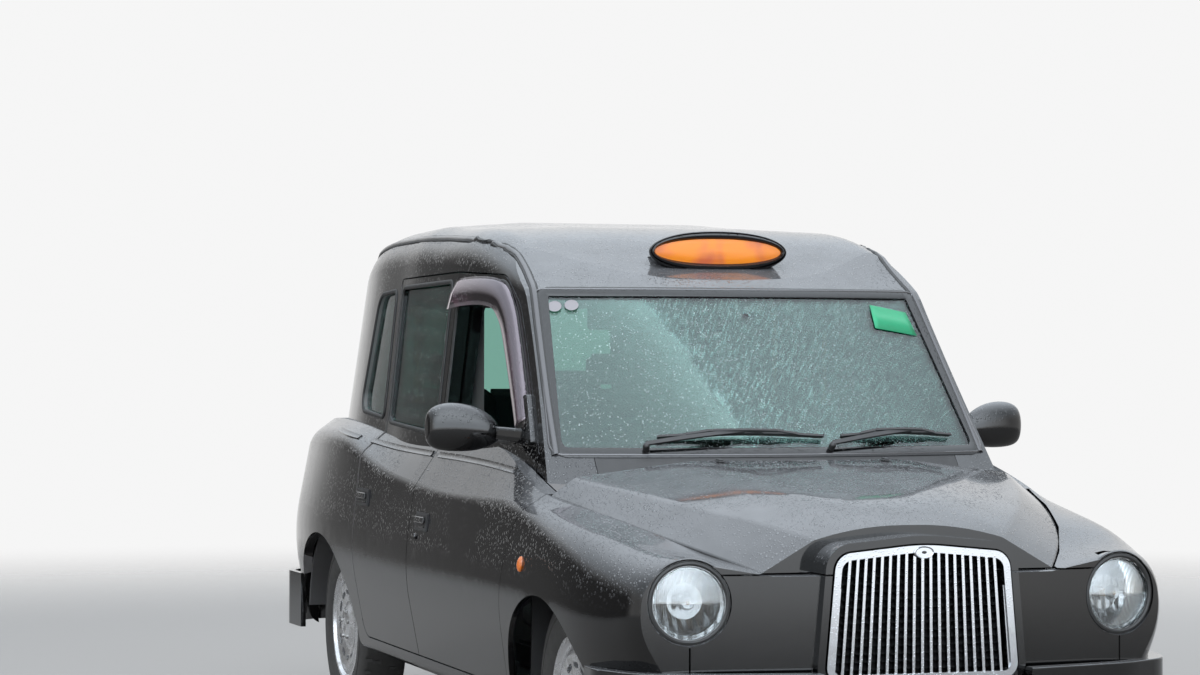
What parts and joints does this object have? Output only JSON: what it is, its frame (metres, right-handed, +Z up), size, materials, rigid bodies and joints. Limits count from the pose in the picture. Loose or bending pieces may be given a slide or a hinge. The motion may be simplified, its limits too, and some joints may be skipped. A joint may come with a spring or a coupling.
{
  "type": "london-style taxi cab",
  "caption": "Hackney-style taxi cab with upright cabin, opening doors, bonnet and boot lid, steering front wheels and a blank roof sign.",
  "frame": {"origin": "middle of the bounding box's bottom face, on the road", "axes": "-Y towards the front, +X towards the cab's left side, +Z up"},
  "size_m": [2.036, 4.58, 1.8358],
  "materials": {
    "body_paint": "wet gloss black",
    "black_plastic": "grained",
    "gloss_black": "gloss black",
    "chrome": "bright",
    "lamp_metal": "bright reflector",
    "window_glass": "green tinted",
    "lamp_glass": "clear fluted",
    "red_lens": "red lens",
    "sign_lens": "lit orange",
    "tyre": "rubber",
    "wheel_silver": "silver lacquer",
    "chassis_black": "satin black",
    "steel": "bare steel",
    "cast_iron": "cast",
    "interior_plastic": "matt",
    "seat_fabric": "woven",
    "floor_grey": "matt mat"
  },
  "bodies": {
    "body": {"roof_panel": "body_paint", "side_frame_left": "body_paint", "side_frame_right": "body_paint", "front_wing_left": "body_paint", "front_wing_right": "body_paint", "front_panel": "body_paint", "rear_panel": "body_paint", "front_bumper": "body_paint", "rear_bumper": "body_paint", "scuttle": "black_plastic", "windscreen": "window_glass", "rear_window": "window_glass", "quarter_glasses": "window_glass", "grille": "chrome", "radiator": "black_plastic", "headlamp_bowls": "lamp_metal", "headlamp_lenses": "lamp_glass", "tail_lamps": "red_lens", "sign_housing": "gloss_black", "sign_lens": "sign_lens", "wipers": "black_plastic", "dashboard": "interior_plastic", "steering_column": "interior_plastic", "driver_seat": "seat_fabric", "rear_bench": "seat_fabric", "tip_up_seats": "seat_fabric", "partition": "interior_plastic", "floor_pan": "floor_grey", "inner_wings": "chassis_black", "chassis_frame": "chassis_black", "engine_block": "cast_iron", "front_suspension": "chassis_black", "rear_axle": "chassis_black", "exhaust": "steel"},
    "front_left_door": {"door_front_left": "body_paint", "door_glass_front_left": "window_glass", "mirror_left": "gloss_black"},
    "front_right_door": {"door_front_right": "body_paint", "door_glass_front_right": "window_glass", "mirror_right": "gloss_black"},
    "rear_left_door": {"door_rear_left": "body_paint", "door_glass_rear_left": "window_glass"},
    "rear_right_door": {"door_rear_right": "body_paint", "door_glass_rear_right": "window_glass"},
    "bonnet_lid": {"bonnet": "body_paint"},
    "boot_door": {"boot_lid": "body_paint"},
    "steering": {"steering_wheel": "interior_plastic"},
    "left_knuckle": {"knuckle_left": "steel"},
    "right_knuckle": {"knuckle_right": "steel"},
    "front_left_wheel": {"tyre_front_left": "tyre", "wheel_front_left": "wheel_silver"},
    "front_right_wheel": {"tyre_front_right": "tyre", "wheel_front_right": "wheel_silver"},
    "rear_left_wheel": {"tyre_rear_left": "tyre", "wheel_rear_left": "wheel_silver"},
    "rear_right_wheel": {"tyre_rear_right": "tyre", "wheel_rear_right": "wheel_silver"}
  },
  "joints": [
    {"name": "front_left_door_hinge", "type": "hinge", "parent": "body", "child": "front_left_door", "pos_m": [0.905, -1.262, 0.7], "axis": [0, 0, -1], "range_deg": [0, 65]},
    {"name": "front_right_door_hinge", "type": "hinge", "parent": "body", "child": "front_right_door", "pos_m": [-0.905, -1.262, 0.7], "axis": [0, 0, 1], "range_deg": [0, 65]},
    {"name": "rear_left_door_hinge", "type": "hinge", "parent": "body", "child": "rear_left_door", "pos_m": [0.905, 0.0325, 0.7], "axis": [0, 0, -1], "range_deg": [0, 80]},
    {"name": "rear_right_door_hinge", "type": "hinge", "parent": "body", "child": "rear_right_door", "pos_m": [-0.905, 0.0325, 0.7], "axis": [0, 0, 1], "range_deg": [0, 80]},
    {"name": "bonnet_hinge", "type": "hinge", "parent": "body", "child": "bonnet_lid", "pos_m": [0, -1.2, 0.97], "axis": [-1, 0, 0], "range_deg": [0, 50]},
    {"name": "boot_hinge", "type": "hinge", "parent": "body", "child": "boot_door", "pos_m": [0, 2.075, 1.078], "axis": [1, 0, 0], "range_deg": [0, 80]},
    {"name": "steer_left", "type": "hinge", "parent": "body", "child": "left_knuckle", "pos_m": [0.615, -1.515, 0.334], "axis": [0, 0, 1], "range_deg": [-48, 48]},
    {"name": "steer_right", "type": "hinge", "parent": "body", "child": "right_knuckle", "pos_m": [-0.615, -1.515, 0.334], "axis": [0, 0, 1], "range_deg": [-48, 48]},
    {"name": "steering_wheel_turn", "type": "hinge", "parent": "body", "child": "steering", "pos_m": [-0.36, -0.69, 0.987], "axis": [0, 0.8708, 0.4916], "range_deg": [-540, 540]},
    {"name": "front_left_spin", "type": "hinge", "parent": "left_knuckle", "child": "front_left_wheel", "pos_m": [0.712, -1.515, 0.334], "axis": [1, 0, 0], "continuous": true},
    {"name": "front_right_spin", "type": "hinge", "parent": "right_knuckle", "child": "front_right_wheel", "pos_m": [-0.712, -1.515, 0.334], "axis": [1, 0, 0], "continuous": true},
    {"name": "rear_left_spin", "type": "hinge", "parent": "body", "child": "rear_left_wheel", "pos_m": [0.712, 1.371, 0.334], "axis": [1, 0, 0], "continuous": true},
    {"name": "rear_right_spin", "type": "hinge", "parent": "body", "child": "rear_right_wheel", "pos_m": [-0.712, 1.371, 0.334], "axis": [1, 0, 0], "continuous": true}
  ],
  "couplings": [
    {"joint": "steer_right", "follows": "steer_left", "ratio": 1},
    {"joint": "steering_wheel_turn", "follows": "steer_left", "ratio": 11.25}
  ]
}
